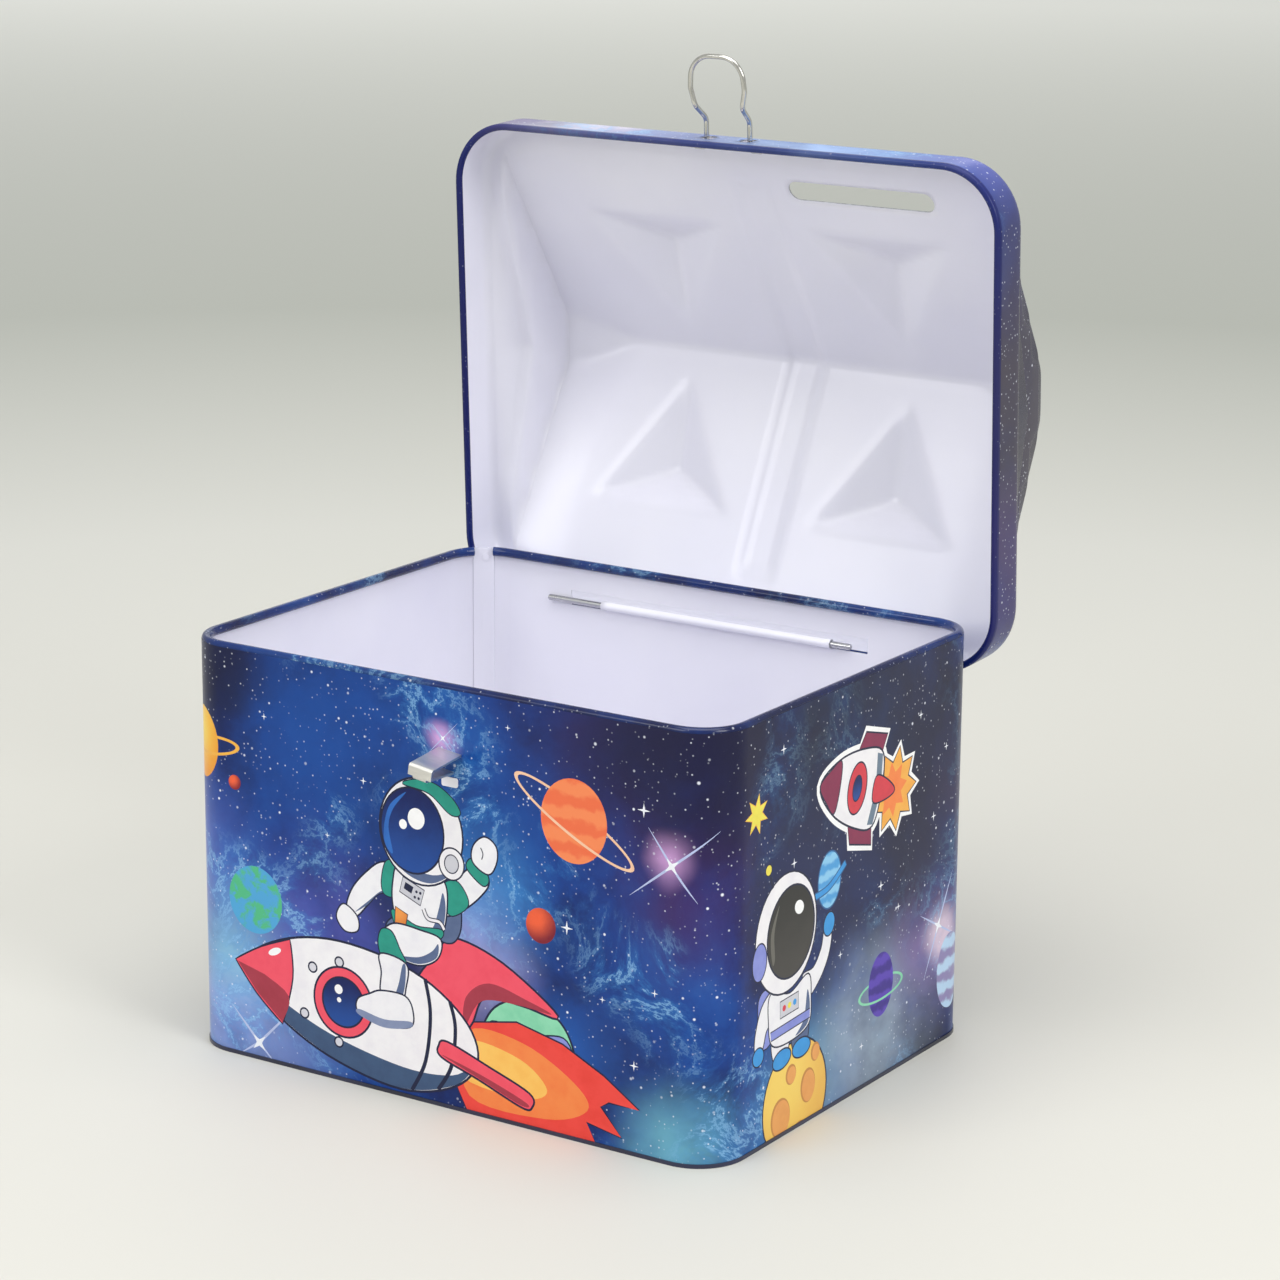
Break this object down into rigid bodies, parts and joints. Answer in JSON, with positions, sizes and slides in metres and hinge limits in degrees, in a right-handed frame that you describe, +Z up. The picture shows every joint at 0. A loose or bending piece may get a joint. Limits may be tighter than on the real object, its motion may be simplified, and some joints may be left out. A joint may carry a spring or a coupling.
{
  "type": "tin money box",
  "caption": "Rounded rectangular tinplate money box with a rolled rim, a rear-hinged lid with a pressed roof and coin slot, and a wire hasp with its staple.",
  "frame": {"origin": "centre of the box's underside, where the base hem stands", "axes": "+X to the right along the front wall, +Y to the back towards the hinge, +Z up"},
  "size_m": [0.146, 0.16, 0.2175],
  "materials": {
    "printed_tin": "gloss printed tinplate, white lacquer inside",
    "base_tin": "gloss white lacquered tinplate",
    "lid_tin": "gloss printed tinplate, white lacquer inside",
    "bare_steel": "bright plated strip",
    "pin_wire": "bright drawn wire",
    "hasp_wire": "bright plated wire"
  },
  "bodies": {
    "box": {"body_wall": "printed_tin", "base_plate": "base_tin", "staple": "bare_steel", "hinge_pin": "pin_wire"},
    "lid": {"lid": "lid_tin"},
    "hasp": {"hasp": "hasp_wire"}
  },
  "joints": [
    {"name": "lid_hinge", "type": "hinge", "parent": "box", "child": "lid", "pos_m": [0, 0.05395, 0.0847], "axis": [1, 0, 0], "range_deg": [0, 87.6]},
    {"name": "hasp_swing", "type": "hinge", "parent": "lid", "child": "hasp", "pos_m": [0, 0.05742, 0.19764], "axis": [1, 0, 0], "range_deg": [-15, 65]}
  ]
}
